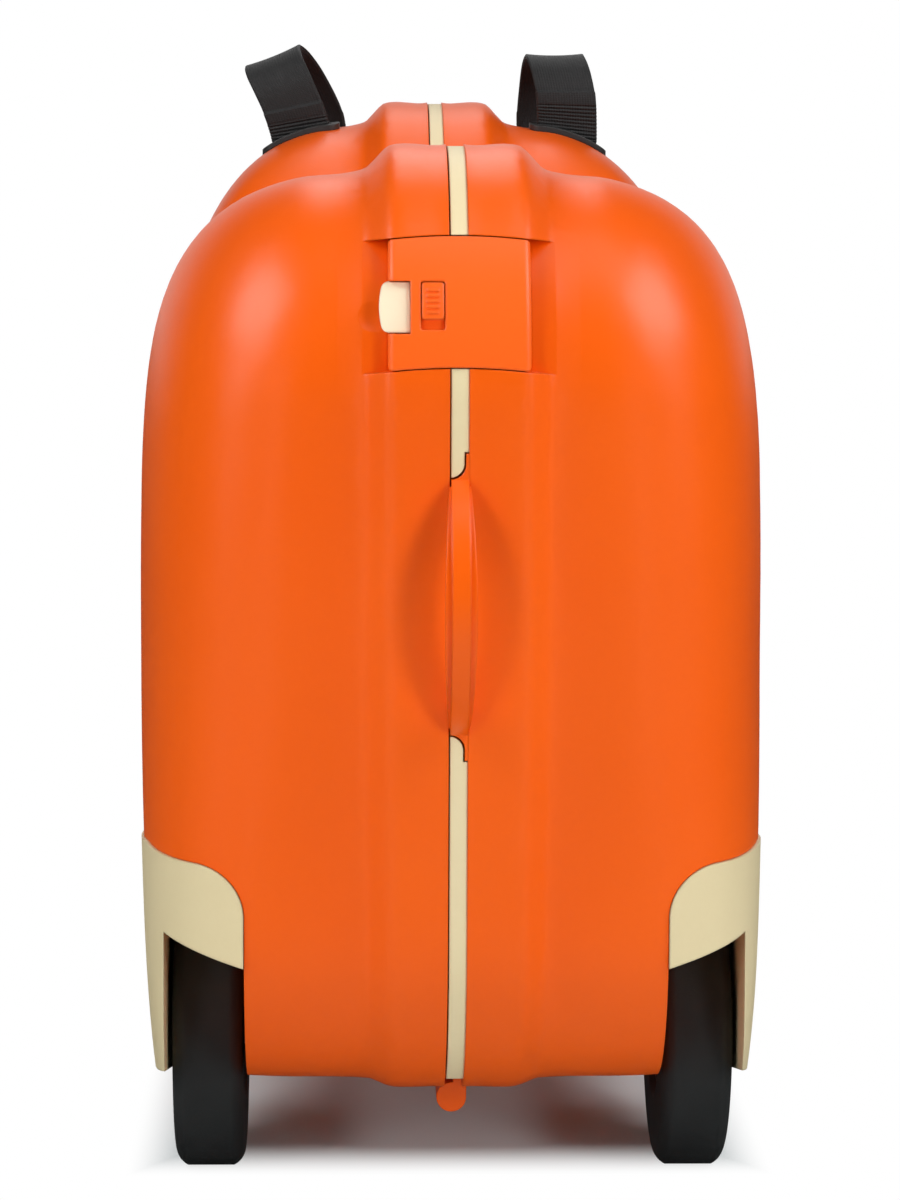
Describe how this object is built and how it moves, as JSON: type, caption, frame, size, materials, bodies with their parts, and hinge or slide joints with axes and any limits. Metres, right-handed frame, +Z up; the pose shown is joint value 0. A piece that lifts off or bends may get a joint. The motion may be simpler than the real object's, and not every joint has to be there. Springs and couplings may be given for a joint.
{
  "type": "ride-on suitcase",
  "caption": "Hard-shell ride-on suitcase with a saddle-shaped body that opens on a bottom hinge, a push-button latch, rear wheels, swivel casters and webbing loops.",
  "frame": {"origin": "on the floor under the middle of the whole object", "axes": "+Z up, +Y from the latch end to the end with the webbing loops, +X to the right seen from the latch end"},
  "size_m": [0.2136, 0.5303, 0.384],
  "materials": {
    "shell": "satin moulded polypropylene",
    "latch": "satin",
    "cream": "satin",
    "tyre": "matte",
    "black_plastic": "matte",
    "webbing": "woven",
    "steel": "brushed"
  },
  "bodies": {
    "right_half": {"right_shell": "shell", "seam_strip": "cream", "carry_handle": "shell", "handle_screws": "steel", "hinge_pin": "steel", "right_wheel_housing": "cream", "right_housing_screws": "steel", "right_rear_axle": "steel", "right_strap_flanges": "black_plastic", "right_strap_loop": "webbing", "right_strap_clamps": "black_plastic", "right_caster_cup": "black_plastic", "right_caster_screws": "steel", "latch_keeper": "steel"},
    "left_half": {"left_shell": "shell", "left_wheel_housing": "cream", "left_housing_screws": "steel", "left_rear_axle": "steel", "left_strap_flanges": "black_plastic", "left_strap_loop": "webbing", "left_strap_clamps": "black_plastic", "left_caster_cup": "black_plastic", "left_caster_screws": "steel", "latch_cover": "latch", "latch_screws": "steel", "hook_pin": "steel"},
    "release_button": {"release_button": "cream"},
    "latch_hook": {"latch_hook": "steel"},
    "lock_slider": {"lock_slider": "latch"},
    "right_rear_wheel": {"right_rear_tyre": "tyre", "right_rear_hub": "black_plastic", "right_rear_bush": "black_plastic"},
    "right_caster": {"right_caster_fork": "black_plastic", "right_caster_clip": "steel", "right_caster_axle": "steel"},
    "right_caster_wheel": {"right_caster_tyre": "tyre", "right_caster_hub": "black_plastic"},
    "left_rear_wheel": {"left_rear_tyre": "tyre", "left_rear_hub": "black_plastic", "left_rear_bush": "black_plastic"},
    "left_caster": {"left_caster_fork": "black_plastic", "left_caster_clip": "steel", "left_caster_axle": "steel"},
    "left_caster_wheel": {"left_caster_tyre": "tyre", "left_caster_hub": "black_plastic"}
  },
  "joints": [
    {"name": "lid_swing", "type": "hinge", "parent": "right_half", "child": "left_half", "pos_m": [0, 0, 0.0288], "axis": [0, -1, 0], "range_deg": [0, 110]},
    {"name": "button_press", "type": "slide", "parent": "left_half", "child": "release_button", "axis": [1, 0, 0], "range_m": [0, 0.0025], "stiffness_N_per_m": 800},
    {"name": "hook_lift", "type": "hinge", "parent": "left_half", "child": "latch_hook", "pos_m": [0.001, -0.23116, 0.29316], "axis": [0, -0.3725, -0.928], "range_deg": [0, 5]},
    {"name": "lock_slide", "type": "hinge", "parent": "left_half", "child": "lock_slider", "pos_m": [-0.0083, -0.161, 0.265], "axis": [1, 0, 0], "range_deg": [0, 2.1]},
    {"name": "right_rear_wheel_spin", "type": "hinge", "parent": "right_half", "child": "right_rear_wheel", "pos_m": [0.0807, -0.143, 0.05], "axis": [1, 0, 0], "continuous": true},
    {"name": "right_caster_swivel", "type": "hinge", "parent": "right_half", "child": "right_caster", "pos_m": [0.057, 0.177, 0.05], "axis": [0, 0, 1], "continuous": true},
    {"name": "right_caster_wheel_spin", "type": "hinge", "parent": "right_caster", "child": "right_caster_wheel", "pos_m": [0.057, 0.168, 0.018], "axis": [1, 0, 0], "continuous": true},
    {"name": "left_rear_wheel_spin", "type": "hinge", "parent": "left_half", "child": "left_rear_wheel", "pos_m": [-0.0807, -0.143, 0.05], "axis": [1, 0, 0], "continuous": true},
    {"name": "left_caster_swivel", "type": "hinge", "parent": "left_half", "child": "left_caster", "pos_m": [-0.057, 0.177, 0.05], "axis": [0, 0, 1], "continuous": true},
    {"name": "left_caster_wheel_spin", "type": "hinge", "parent": "left_caster", "child": "left_caster_wheel", "pos_m": [-0.057, 0.168, 0.018], "axis": [1, 0, 0], "continuous": true}
  ],
  "couplings": [
    {"joint": "hook_lift", "follows": "button_press", "rad_per_m": 34.9}
  ]
}
